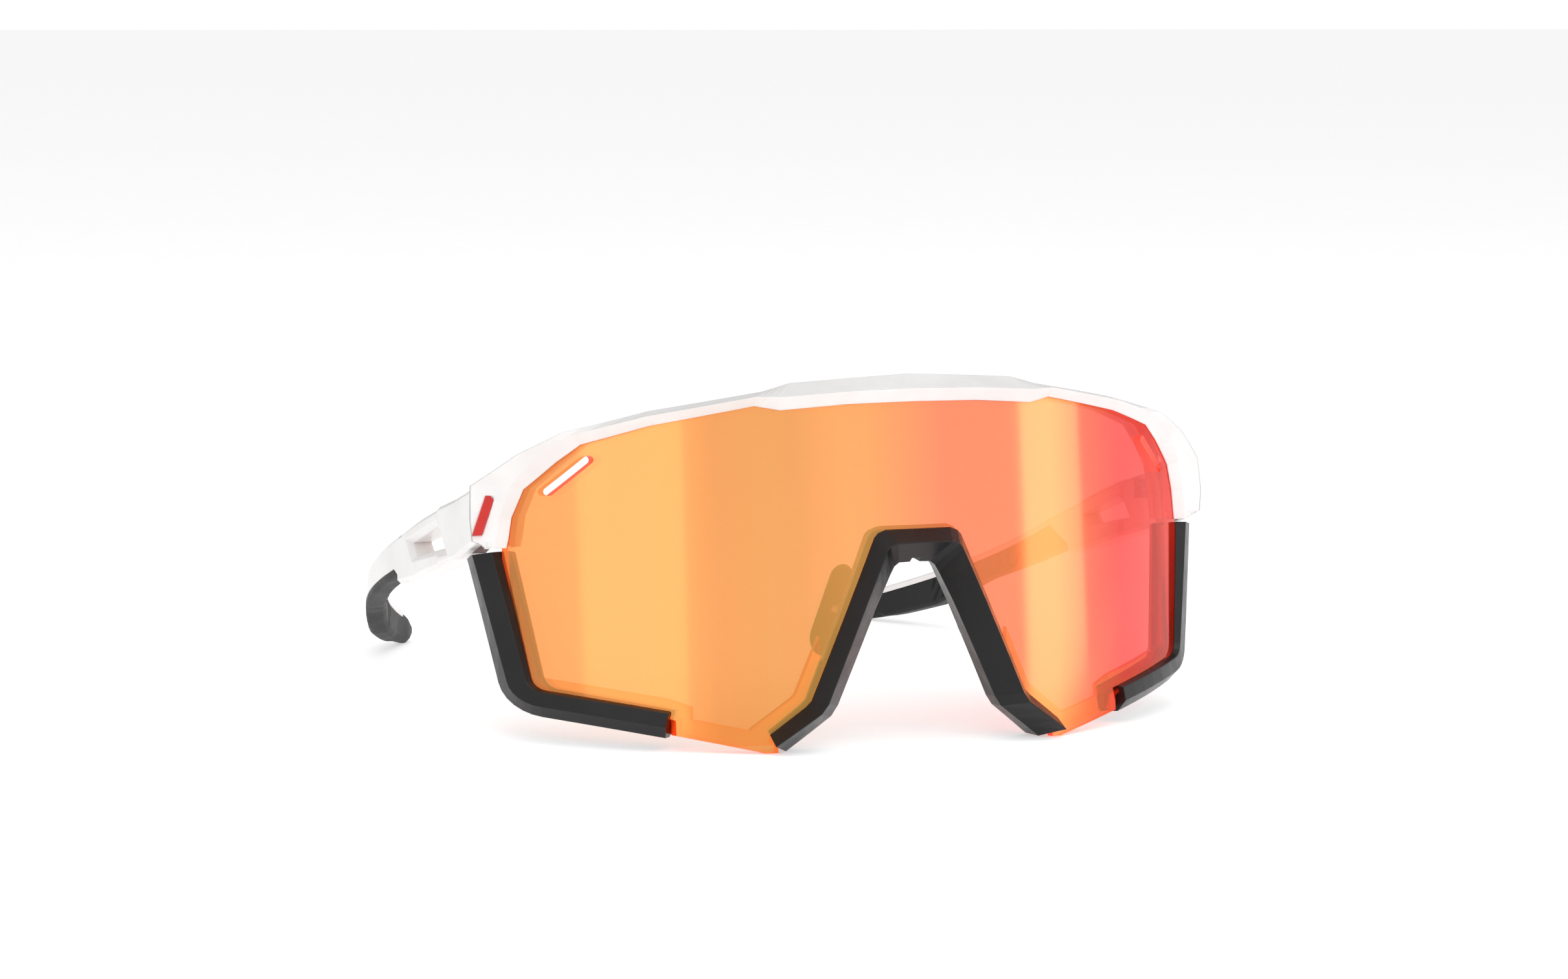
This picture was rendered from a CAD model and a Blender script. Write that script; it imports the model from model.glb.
# %% [markdown]
# # Wraparound sport sunglasses
#
# One large curved shield lens hangs in a white half-frame. Two black lower rims and a black nose
# arch clip on from below, two rubber pads carry the nose, and two white temples with rubber socks
# fold on steel hinges. The solid model gives every shape and size, so this lesson is about
# finishes: gloss white plastic, satin black plastic, a mirror-coated lens and moulded rubber.

import math

import bpy
import bmesh
from mathutils import Matrix, Vector


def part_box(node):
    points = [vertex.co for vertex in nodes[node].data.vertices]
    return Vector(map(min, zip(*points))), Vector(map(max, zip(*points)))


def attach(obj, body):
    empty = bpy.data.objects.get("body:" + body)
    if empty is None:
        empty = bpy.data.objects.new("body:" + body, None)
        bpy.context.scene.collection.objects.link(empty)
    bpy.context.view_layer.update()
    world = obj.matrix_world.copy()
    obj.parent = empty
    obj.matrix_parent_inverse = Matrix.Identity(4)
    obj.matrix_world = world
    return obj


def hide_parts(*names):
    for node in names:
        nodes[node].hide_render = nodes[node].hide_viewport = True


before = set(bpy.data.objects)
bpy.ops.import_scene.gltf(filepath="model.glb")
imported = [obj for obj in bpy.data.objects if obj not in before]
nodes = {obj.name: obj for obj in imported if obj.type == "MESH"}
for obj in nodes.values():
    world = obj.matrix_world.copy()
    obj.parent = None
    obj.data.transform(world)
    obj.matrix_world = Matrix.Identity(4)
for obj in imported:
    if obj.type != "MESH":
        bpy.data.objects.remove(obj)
scene = bpy.context.scene
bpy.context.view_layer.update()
MM = 0.001

# %% [markdown]
# ## The camera
#
# The view is from the wearer's front right, a little above the glasses, through a long lens. A long
# lens keeps the two ends of the front almost the same size. The camera looks along a direction made
# from a turn round the upright axis and a small downward pitch, so it is built from those angles.

# %% Place the camera
CAMERA_PLACE = Vector((-0.3145, -0.7978, 0.1387))
CAMERA_TURN = math.radians(21.688)
CAMERA_PITCH = math.radians(-6.769)
CAMERA_ROLL = math.radians(0.403)
SENSOR_WIDTH = 36.0
FOCAL_LENGTH = 106.2


def camera_axes(turn, pitch, roll):
    """The camera's right, up and backward directions as the columns of a matrix."""
    forward = Vector((math.sin(turn) * math.cos(pitch), math.cos(turn) * math.cos(pitch), math.sin(pitch)))
    level = Vector((math.cos(turn), -math.sin(turn), 0))
    upward = level.cross(forward)
    right = level * math.cos(roll) + upward * math.sin(roll)
    up = upward * math.cos(roll) - level * math.sin(roll)
    return Matrix((right, up, -forward)).transposed()


camera_data = bpy.data.cameras.new("camera")
camera_data.sensor_width = SENSOR_WIDTH
camera_data.lens = FOCAL_LENGTH
camera_data.clip_start = 0.01
camera = bpy.data.objects.new("camera", camera_data)
camera.matrix_world = Matrix.Translation(CAMERA_PLACE) @ camera_axes(
    CAMERA_TURN, CAMERA_PITCH, CAMERA_ROLL).to_4x4()
scene.collection.objects.link(camera)
scene.camera = camera

# %% [markdown]
# ## Helpers for materials
#
# Every finish is a small node tree. One function adds a node with its settings and links, and one
# turns a colour as a designer writes it, in sRGB hex, into the linear light that a shader needs.

# %% Material helpers
scene.view_settings.view_transform = "Standard"


def linear(code, alpha=1.0):
    """A colour written as #rrggbb, as linear light."""
    parts = [int(code[i:i + 2], 16) / 255 for i in (1, 3, 5)]
    light = [c / 12.92 if c <= 0.04045 else ((c + 0.055) / 1.055) ** 2.4 for c in parts]
    return (*light, alpha)


def add(tree, kind, settings=None, values=None, links=None):
    """Adds a node, sets its settings and socket values, and links sockets into it."""
    node = tree.nodes.new("ShaderNode" + kind)
    for name, value in (settings or {}).items():
        setattr(node, name, value)
    for name, value in (values or {}).items():
        node.inputs[name].default_value = value
    for name, socket in (links or {}).items():
        tree.links.new(socket, node.inputs[name])
    return node


def empty_material(name):
    """A material with only an output node, and that node."""
    material = bpy.data.materials.new(name)
    material.use_nodes = True
    material.node_tree.nodes.clear()
    return material, add(material.node_tree, "OutputMaterial")


def noise(tree, size_mm, detail=3.0, roughness=0.55):
    """A cloud pattern on the object's own coordinates whose features are size_mm across."""
    place = add(tree, "TexCoord").outputs["Object"]
    return add(tree, "TexNoise", values={"Scale": 1 / (size_mm * MM), "Detail": detail,
                                         "Roughness": roughness}, links={"Vector": place})


def between(tree, amount, low, high):
    """A value from low to high as amount goes from 0.35 to 0.65, the range a cloud pattern covers."""
    return add(tree, "MapRange", values={"From Min": 0.35, "From Max": 0.65, "To Min": low,
                                         "To Max": high}, links={"Value": amount}).outputs[0]


def two_colours(tree, amount, first, second):
    """A colour between two, by a value from 0 to 1."""
    return add(tree, "Mix", {"data_type": "RGBA"}, {6: linear(first), 7: linear(second)},
               {0: amount}).outputs[2]


def worn_edges(tree, radius_mm):
    """Rounded-looking edges: the soft normal, and how near an edge a point is, from 0 to 1."""
    soft = add(tree, "Bevel", {"samples": 6}, {"Radius": radius_mm * MM}).outputs[0]
    plain = add(tree, "NewGeometry").outputs["Normal"]
    alike = add(tree, "VectorMath", {"operation": "DOT_PRODUCT"}, links={0: soft, 1: plain})
    edge = add(tree, "MapRange", values={"From Min": 1.0, "From Max": 0.9},
               links={"Value": alike.outputs["Value"]})
    return soft, edge.outputs[0]


def dress(material, *names):
    """Gives a material to CAD nodes by name."""
    for name in names:
        for slot in nodes[name].material_slots:
            slot.material = material
    print(material.name, "on", ", ".join(names))


# %% [markdown]
# ## Moulded plastics
#
# The frame is injection-moulded nylon. The white parts leave a polished mould, so they are glossy
# with a faint ripple like orange peel. The black parts leave a spark-eroded mould: satin, with a
# fine even grain. Both show a soft highlight along each edge, because no moulded edge is sharp, so
# one function makes both from their colours, gloss and grain.

# %% Gloss white and satin black nylon


def moulded_nylon(name, main, shade, edge_colour, gloss, shine, grain_mm, grain_depth_mm, edge_mm):
    """Injection-moulded nylon: slight colour drift, grain from the mould, and softened edges."""
    material, out = empty_material(name)
    tree = material.node_tree
    soft, edge = worn_edges(tree, edge_mm)
    drift = noise(tree, 9.0, detail=2.0).outputs[0]
    body = two_colours(tree, between(tree, drift, 0.0, 1.0), main, shade)
    faint_edge = add(tree, "Math", {"operation": "MULTIPLY"}, {1: 0.6}, {0: edge}).outputs[0]
    colour = add(tree, "Mix", {"data_type": "RGBA"}, {7: linear(edge_colour)},
                 {0: faint_edge, 6: body}).outputs[2]
    grain = noise(tree, grain_mm, detail=4.0).outputs[0]
    relief = add(tree, "Bump", values={"Strength": 1.0, "Distance": grain_depth_mm * MM},
                 links={"Height": grain, "Normal": soft}).outputs[0]
    rough = between(tree, noise(tree, 3.0).outputs[0], gloss - 0.04, gloss + 0.05)
    surface = add(tree, "BsdfPrincipled", values={"IOR": 1.53, "Specular IOR Level": shine},
                  links={"Base Color": colour, "Roughness": rough, "Normal": relief})
    tree.links.new(surface.outputs[0], out.inputs["Surface"])
    return material


# %% Dress the frame's plastic parts
# Polished mould: bright white, a gloss that shows soft reflections, and almost no grain.
gloss_white = moulded_nylon("gloss_white_nylon", main="#F6F5F4", shade="#EFEDEC", edge_colour="#FFFFFF",
                            gloss=0.2, shine=0.5, grain_mm=1.6, grain_depth_mm=0.004, edge_mm=0.35)
# Spark-eroded mould: near black, a broad satin highlight, and a fine even grain.
satin_black = moulded_nylon("satin_black_nylon", main="#101011", shade="#151516", edge_colour="#262627",
                            gloss=0.3, shine=0.25, grain_mm=0.25, grain_depth_mm=0.004, edge_mm=0.3)
dress(gloss_white, "brow_frame", "temple_left", "temple_right")
dress(satin_black, "rim_left", "rim_right", "nose_arch")

# %% [markdown]
# ## The mirror-coated lens
#
# The shield is tinted polycarbonate with a vapour-deposited mirror coat. The tint lets red and
# orange through, and the coat sends gold light back, so a bright studio panel shows as a yellow
# band and a dark part of the room shows the deep coral tint. Each surface lets tinted light through
# and adds the coat's reflection. The cut edge of the sheet collects light and glows red-orange.

# %% Where a point is on the lens
# The sheet is 2 mm thick, so a point more than 2.1 mm behind its face is on the thicker margin.
LENS_RADIUS = 82.0 * MM
SHEET_DEPTH = 2.1 * MM
FRONT_TILT = math.radians(7.1)
FRONT_ORIGIN = Vector((0, -0.0746, 0.0008))


def lens_directions(tree):
    """The place on the upright lens, how squarely a face looks along the radius, and its radius."""
    coords = add(tree, "TexCoord").outputs
    moved = add(tree, "VectorMath", {"operation": "SUBTRACT"}, {1: FRONT_ORIGIN},
                {0: coords["Object"]}).outputs[0]
    upright = add(tree, "Mapping", {"vector_type": "POINT"}, {"Rotation": (FRONT_TILT, 0, 0)},
                  {"Vector": moved}).outputs[0]
    normal = add(tree, "Mapping", {"vector_type": "POINT"}, {"Rotation": (FRONT_TILT, 0, 0)},
                 {"Vector": coords["Normal"]}).outputs[0]
    outward = add(tree, "VectorMath", {"operation": "SUBTRACT"}, {1: (0, LENS_RADIUS, 0)},
                  {0: upright}).outputs[0]
    flat = add(tree, "VectorMath", {"operation": "MULTIPLY"}, {1: (1, 1, 0)}, {0: outward}).outputs[0]
    radial = add(tree, "VectorMath", {"operation": "NORMALIZE"}, links={0: flat}).outputs[0]
    facing = add(tree, "VectorMath", {"operation": "DOT_PRODUCT"}, links={0: radial, 1: normal})
    amount = add(tree, "Math", {"operation": "ABSOLUTE"}, links={0: facing.outputs["Value"]})
    reach = add(tree, "VectorMath", {"operation": "LENGTH"}, links={0: flat}).outputs["Value"]
    return upright, amount.outputs[0], reach


def share_across(tree, upright):
    """How far across the lens a point is, from 0 at its left end to 1 at its right end."""
    across = add(tree, "SeparateXYZ", links={0: upright}).outputs[0]
    return add(tree, "MapRange", values={"From Min": -70 * MM, "From Max": 70 * MM},
               links={"Value": across}).outputs[0]


def ramp(tree, value, stops):
    """A colour ramp from (place, colour) stops."""
    node = add(tree, "ValToRGB", links={0: value})
    elements = node.color_ramp.elements
    while len(elements) < len(stops):
        elements.new(0.5)
    for element, (place, colour) in zip(elements, stops):
        element.position = place
        element.color = linear(colour)
    return node.outputs[0]


print("lens radius", LENS_RADIUS / MM, "mm, leaning back", round(math.degrees(FRONT_TILT), 1), "degrees")

# %% [markdown]
# A real mirror coat changes colour with the angle of view. Here that is simplified: the tint and the
# coat are each a fixed colour ramp across the lens, with gold stops at one end and red ones at the
# other, so the zones stay in place when the view turns. A corner test adds a thin, more orange
# outline along the frame.

# %% The faces of the shield
TINT = [(0.0, "#FFD5B1"), (0.3, "#FFD0B0"), (0.5, "#FFC8B8"), (0.7, "#FFB8BD"), (1.0, "#FFC2C0")]
COAT = [(0.0, "#FFB064"), (0.15, "#FFB468"), (0.32, "#F2C468"), (0.44, "#F6BC68"), (0.54, "#FF9C68"),
        (0.7, "#FFA860"), (0.82, "#FF5F50"), (1.0, "#FF5C4E")]


def tinted_sheet(tree, share, thick):
    """Light through the sheet: tinted by place, and more orange in the thick margin."""
    tint = ramp(tree, share, TINT)
    tint = add(tree, "Mix", {"data_type": "RGBA"}, {7: linear("#FFA060")}, {0: thick, 6: tint}).outputs[2]
    return add(tree, "BsdfTransparent", links={"Color": tint}).outputs[0]


def mirror_coat(tree, share):
    """Light back from the coat: its colour by place, more orange within 1.6 mm of the frame."""
    colour = ramp(tree, share, COAT)
    corner = add(tree, "AmbientOcclusion", {"samples": 4}, {"Distance": 1.6 * MM}).outputs["AO"]
    beside_frame = add(tree, "MapRange", values={"From Min": 0.5, "From Max": 0.85, "To Min": 0.8,
                                                 "To Max": 0.0}, links={"Value": corner}).outputs[0]
    colour = add(tree, "Mix", {"data_type": "RGBA"}, {7: linear("#FF7A1E")},
                 {0: beside_frame, 6: colour}).outputs[2]
    ripple = add(tree, "Bump", values={"Strength": 1.0, "Distance": 0.002 * MM},
                 links={"Height": noise(tree, 6.0, detail=1.0).outputs[0]}).outputs[0]
    return add(tree, "BsdfPrincipled", values={"Metallic": 1.0, "Roughness": 0.1},
               links={"Base Color": colour, "Normal": ripple}).outputs[0]


def glowing_edge(tree):
    """The cut edge of the sheet, which collects light and glows red-orange."""
    glow = add(tree, "BsdfPrincipled", values={"Base Color": linear("#FF5A1E"), "Roughness": 0.25,
                                               "Emission Color": linear("#FF4A18"),
                                               "Emission Strength": 0.35}).outputs[0]
    clear = add(tree, "BsdfTransparent", values={"Color": linear("#FF8A50")}).outputs[0]
    return add(tree, "MixShader", values={0: 0.6}, links={1: clear, 2: glow}).outputs[0]


# %% The whole shield


def mirror_shield():
    material, out = empty_material("mirror_coated_polycarbonate")
    tree = material.node_tree
    upright, facing, reach = lens_directions(tree)
    share = share_across(tree, upright)
    thick = add(tree, "Math", {"operation": "LESS_THAN"}, {1: LENS_RADIUS - SHEET_DEPTH},
                {0: reach}).outputs[0]
    sheet = tinted_sheet(tree, share, thick)
    coat = mirror_coat(tree, share)
    oblique = add(tree, "LayerWeight", values={"Blend": 0.35}).outputs["Facing"]
    amount = add(tree, "MapRange", values={"To Min": 0.42, "To Max": 0.48}, links={"Value": oblique})
    face = add(tree, "MixShader", links={0: amount.outputs[0], 1: sheet, 2: coat}).outputs[0]
    is_face = add(tree, "MapRange", values={"From Min": 0.8, "From Max": 0.9}, links={"Value": facing})
    quiet = add(tree, "Math", {"operation": "MAXIMUM"}, links={0: is_face.outputs[0], 1: thick})
    whole = add(tree, "MixShader", links={0: quiet.outputs[0], 1: glowing_edge(tree), 2: face}).outputs[0]
    tree.links.new(whole, out.inputs["Surface"])
    return material


dress(mirror_shield(), "lens")

# %% [markdown]
# ## Steel, screws and the badge
#
# The hinge leaves are stamped from cold-rolled spring steel, which keeps fine lines along the roll.
# The screws are turned and nickel-plated, brighter and smoother. The badge on the front is a small
# raised plate in red enamel paint over moulded plastic.

# %% Spring steel, plated screw steel and red enamel


def rolled_metal(name, main, shade, gloss, line_mm):
    """Metal with fine lines along one direction, as rolling or turning leaves them."""
    material, out = empty_material(name)
    tree = material.node_tree
    place = add(tree, "TexCoord").outputs["Object"]
    stretched = add(tree, "Mapping", {"vector_type": "POINT"}, {"Scale": (1, 0.06, 1)},
                    {"Vector": place}).outputs[0]
    lines = add(tree, "TexNoise", values={"Scale": 1 / (line_mm * MM), "Detail": 2.0},
                links={"Vector": stretched}).outputs[0]
    colour = two_colours(tree, between(tree, lines, 0.0, 1.0), main, shade)
    rough = between(tree, lines, gloss - 0.05, gloss + 0.08)
    relief = add(tree, "Bump", values={"Strength": 1.0, "Distance": 0.004 * MM},
                 links={"Height": lines}).outputs[0]
    surface = add(tree, "BsdfPrincipled", values={"Metallic": 1.0},
                  links={"Base Color": colour, "Roughness": rough, "Normal": relief})
    tree.links.new(surface.outputs[0], out.inputs["Surface"])
    return material


# %% Dress the metal parts and the badge
spring_steel = rolled_metal("rolled_spring_steel", "#B9B9BC", "#9C9CA0", 0.3, 0.2)
screw_steel = rolled_metal("nickel_plated_steel", "#C9C7C2", "#B3B1AC", 0.2, 0.35)
red_enamel = moulded_nylon("red_enamel_on_plastic", main="#D3271E", shade="#C4221A", edge_colour="#E8584C",
                           gloss=0.22, shine=0.5, grain_mm=0.8, grain_depth_mm=0.004, edge_mm=0.15)
dress(spring_steel, "front_leaf_left", "front_leaf_right", "temple_leaf_left", "temple_leaf_right",
      "ear_core_left", "ear_core_right", "pad_core_left", "pad_core_right")
dress(screw_steel, "hinge_screw_left", "hinge_screw_right")
dress(red_enamel, "badge_plate")

# %% [markdown]
# ## Soft rubber
#
# The ear socks and nose pads are moulded from soft thermoplastic rubber. It is dark, with a wide
# weak sheen and a fine grain that scatters light.

# %% Thermoplastic rubber


def soft_rubber(name, main, shade):
    """Matt moulded rubber with a weak sheen and a fine grain."""
    material, out = empty_material(name)
    tree = material.node_tree
    drift = noise(tree, 5.0, detail=3.0).outputs[0]
    colour = two_colours(tree, between(tree, drift, 0.0, 1.0), main, shade)
    grain = noise(tree, 0.35, detail=4.0).outputs[0]
    relief = add(tree, "Bump", values={"Strength": 1.0, "Distance": 0.02 * MM},
                 links={"Height": grain}).outputs[0]
    rough = between(tree, drift, 0.5, 0.62)
    surface = add(tree, "BsdfPrincipled", values={"IOR": 1.5, "Specular IOR Level": 0.3,
                                                  "Sheen Weight": 0.05, "Sheen Roughness": 0.5},
                  links={"Base Color": colour, "Roughness": rough, "Normal": relief})
    tree.links.new(surface.outputs[0], out.inputs["Surface"])
    return material


black_rubber = soft_rubber("black_moulded_rubber", "#0F0F10", "#151516")
grey_rubber = soft_rubber("grey_moulded_rubber", "#161617", "#1E1E20")
print("rubber:", black_rubber.name, "and", grey_rubber.name)

# %% [markdown]
# ## Ear socks with their tread
#
# Each sock is one rubber moulding: a pad on the inside and underside of the temple that ends in a
# fuller tip. The solid model holds its plain form. A copy is remeshed finely, which rounds its
# edges as a rubber moulding's are, and the tread is then pressed into it: hexagons on the inner
# face and ribs across the tip. The tread follows the temple's bend, so a point is first described
# by its distance along the bend, its height beside the sock's middle, and its distance from the
# bend's centre.

# %% Remesh a copy of a soft solid


def soft_copy(node, name, voxel_mm, smooth_steps):
    """A finely remeshed, slightly rounded copy of a CAD node as a new object at the origin."""
    work = bmesh.new()
    work.from_mesh(nodes[node].data)
    bmesh.ops.remove_doubles(work, verts=work.verts, dist=0.001 * MM)
    mesh = bpy.data.meshes.new(name)
    work.to_mesh(mesh)
    work.free()
    piece = bpy.data.objects.new(name, mesh)
    scene.collection.objects.link(piece)
    remesh = piece.modifiers.new("remesh", "REMESH")
    remesh.mode = "VOXEL"
    remesh.voxel_size = voxel_mm * MM
    depsgraph = bpy.context.evaluated_depsgraph_get()
    fine = bpy.data.meshes.new_from_object(piece.evaluated_get(depsgraph))
    piece.modifiers.clear()
    piece.data = fine
    fine.name = name
    work = bmesh.new()
    work.from_mesh(fine)
    for _ in range(smooth_steps):
        bmesh.ops.smooth_vert(work, verts=work.verts, factor=0.5, use_axis_x=True, use_axis_y=True,
                              use_axis_z=True)
    work.to_mesh(fine)
    work.free()
    fine.materials.clear()
    fine.polygons.foreach_set("use_smooth", [True] * len(fine.polygons))
    print(name, len(fine.polygons), "faces")
    return piece


# %% Where a point is on a sock
BEND_RADIUS = 100.0 * MM
BEFORE_BEND = 5.9 * MM
SOCK_DROP = 0.3313
SOCK_THICK = 4.1 * MM
MIDDLE_HEIGHT = 27.9 * MM
sock_low, sock_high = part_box("ear_sock_right")
bend_centre = Vector((sock_high.x - BEND_RADIUS, sock_low.y + BEFORE_BEND))


def along_sock(point):
    """Distance along the bend, height beside the sock's middle, and distance from the bend's centre."""
    beside = abs(point.x) - bend_centre.x
    behind = point.y - bend_centre.y
    up = point.z - (MIDDLE_HEIGHT - SOCK_DROP * point.y)
    if behind < 0:
        return behind, up, beside
    return BEND_RADIUS * math.atan2(behind, beside), up, math.hypot(behind, beside)


print("bend centre in mm:", [round(v / MM, 1) for v in bend_centre])

# %% Press the tread into a sock
HEXAGON_PLACES = (10.5, 17.0, 23.5)
HEXAGON_HALF = 1.7 * MM
FIRST_RIB, RIB_STEP, RIB_COUNT = 38, 2.2, 7
TREAD_DEPTH = 0.45 * MM
SKIN = 0.35 * MM


def hexagon_distance(across, up, half_width):
    """How far a point is outside a hexagon of that half width; negative inside."""
    across, up = abs(across), abs(up)
    return max(across * 0.866 + up * 0.5, up) - half_width


def groove(distance, width_mm):
    """1 in the middle of a groove and 0 outside its width."""
    share = abs(distance) / (width_mm * MM / 2)
    return 0.0 if share >= 1 else (1 - share * share) ** 2


def tread_depth(along, up):
    """How deep the tread is at a point of the inner face, as a share of its full depth."""
    deepest = 0.0
    for centre in HEXAGON_PLACES:
        deepest = max(deepest, groove(hexagon_distance(along - centre * MM, up, HEXAGON_HALF), 0.7))
    for k in range(RIB_COUNT):
        rib_place = (FIRST_RIB + RIB_STEP * k) * MM + abs(up) * 0.6
        deepest = max(deepest, groove(along - rib_place, 0.8))
    return deepest


def ear_sock(side, material):
    """A rubber sock with its tread, in place of the plain solid one."""
    piece = soft_copy("ear_sock_" + side, "rubber_sock_" + side, 0.24, 1)
    inner_radius = BEND_RADIUS - SOCK_THICK
    for vertex in piece.data.vertices:
        along, up, radius = along_sock(vertex.co)
        if radius < inner_radius + SKIN and along > 0:
            depth = TREAD_DEPTH * tread_depth(along, up)
            outward = Vector((math.copysign(1, vertex.co.x) * (abs(vertex.co.x) - bend_centre.x),
                              vertex.co.y - bend_centre.y, 0)).normalized()
            vertex.co += outward * depth
    piece.data.materials.append(material)
    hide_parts("ear_sock_" + side)
    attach(piece, side + "_arm")
    return piece


socks = [ear_sock(side, black_rubber) for side in ("left", "right")]

# %% [markdown]
# ## Nose pads
#
# A nose pad is a long rubber teardrop round a bendable metal strip. It is the softest part of the
# glasses, so its edges are well rounded. The copy is remeshed finely and smoothed more than the
# socks are.

# %% Round the nose pads


def nose_pad(side, material):
    """A well rounded rubber pad, in place of the plain solid one."""
    piece = soft_copy("nose_pad_" + side, "rubber_pad_" + side, 0.16, 4)
    piece.data.materials.append(material)
    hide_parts("nose_pad_" + side)
    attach(piece, "front")
    return piece


pads = [nose_pad(side, grey_rubber) for side in ("left", "right")]

# %% [markdown]
# ## The studio
#
# The glasses stand on a pale floor in a white room. Tall soft panels stand to the sides, because a
# curved mirror lens shows them as upright bands: a bright one on the right gives the lens its
# yellow strip, and a softer one on the left its warm glow. A third panel lights the brow from above
# the front.

# %% Floor


def floor_material():
    """A pale matt floor that glows a little, so that it stays white far from the lights."""
    material, out = empty_material("pale_matt_floor")
    tree = material.node_tree
    speck = noise(tree, 14.0, detail=2.0).outputs[0]
    colour = two_colours(tree, between(tree, speck, 0.0, 1.0), "#F7F7F7", "#F4F4F4")
    surface = add(tree, "BsdfPrincipled", values={"Roughness": 0.8, "Specular IOR Level": 0.0,
                                                  "Emission Color": (1, 1, 1, 1),
                                                  "Emission Strength": 0.45},
                  links={"Base Color": colour})
    tree.links.new(surface.outputs[0], out.inputs["Surface"])
    return material


work = bmesh.new()
bmesh.ops.create_grid(work, x_segments=1, y_segments=1, size=6.0)
floor_mesh = bpy.data.meshes.new("floor")
work.to_mesh(floor_mesh)
work.free()
floor_mesh.materials.append(floor_material())
floor = bpy.data.objects.new("floor", floor_mesh)
scene.collection.objects.link(floor)
print("floor with", floor_mesh.materials[0].name)

# %% [markdown]
# The room is light. What the camera sees of it, what lights the object, and what the lens mirrors
# have strengths of their own. The walls that the lens mirrors are darker in some directions, so
# that the lens shows soft upright zones.

# %% The room
world = bpy.data.worlds.new("white_room")
scene.world = world
world.use_nodes = True
room = world.node_tree
room.nodes.clear()
ROOM_SEEN, ROOM_LIT, ROOM_MIRRORED = 1.15, 0.52, 1.35
path = add(room, "LightPath")
seen = add(room, "Background", values={"Color": (1, 1, 1, 1), "Strength": ROOM_SEEN}).outputs[0]
lit = add(room, "Background", values={"Color": (1, 1, 1, 1), "Strength": ROOM_LIT}).outputs[0]
direction = add(room, "SeparateXYZ", links={0: add(room, "TexCoord").outputs["Generated"]})
ahead = add(room, "Math", {"operation": "MULTIPLY"}, {1: -1.0}, {0: direction.outputs["Y"]}).outputs[0]
turned = add(room, "Math", {"operation": "ARCTAN2"}, links={0: direction.outputs["X"], 1: ahead}).outputs[0]
round_room = add(room, "MapRange", values={"From Min": -math.pi, "From Max": math.pi},
                 links={"Value": turned}).outputs[0]


def bearing(degrees):
    """A direction in the room, from straight ahead of the glasses, as a place on the ramp."""
    return 0.5 + degrees / 360


walls = add(room, "ValToRGB", links={0: round_room})
wall_light = [(-180, 0.5), (-110, 0.6), (-84, 0.95), (-62, 0.95), (-37, 0.85), (-30, 0.68), (-8, 0.7),
              (4, 0.9), (60, 0.9), (76, 0.85), (110, 0.85), (150, 0.4)]
stops = walls.color_ramp.elements
while len(stops) < len(wall_light):
    stops.new(1.0)
for stop, (turn, light) in zip(stops, wall_light):
    stop.position = bearing(turn)
    stop.color = (light, light, light, 1)
mirrored = add(room, "Background", values={"Strength": ROOM_MIRRORED}, links={"Color": walls.outputs[0]})
mirrored = mirrored.outputs[0]
not_mirrored = add(room, "MixShader", links={0: path.outputs["Is Glossy Ray"], 1: lit, 2: mirrored})
both = add(room, "MixShader", links={0: path.outputs["Is Camera Ray"], 1: not_mirrored.outputs[0], 2: seen})
add(room, "OutputWorld", links={"Surface": both.outputs[0]})


print("room with", len(wall_light), "steps of light round it")

# %% Soft panels


def panel(name, turn, height, distance, width, tall, strength, target=Vector((0.0, -0.05, 0.03))):
    """A soft light panel that faces the glasses. Turn is from straight ahead of them, in degrees."""
    light = bpy.data.lights.new(name, "AREA")
    light.shape = "RECTANGLE"
    light.size = width
    light.size_y = tall
    light.energy = strength * width * tall * math.pi
    piece = bpy.data.objects.new(name, light)
    angle = math.radians(turn)
    place = target + Vector((math.sin(angle), -math.cos(angle), 0)) * distance
    place.z = height
    towards = (target - place).to_track_quat("-Z", "Y").to_matrix().to_4x4()
    piece.matrix_world = Matrix.Translation(place) @ towards
    piece.visible_camera = False
    scene.collection.objects.link(piece)
    print(name, "at", [round(v, 2) for v in place])
    return piece


panel("strip_panel", turn=65.0, height=0.35, distance=1.2, width=0.46, tall=1.6, strength=1.75)
panel("left_panel", turn=-52.0, height=0.35, distance=1.2, width=0.62, tall=1.6, strength=0.5)
panel("top_panel", turn=-5.0, height=1.1, distance=0.8, width=1.2, tall=1.2, strength=1.5)
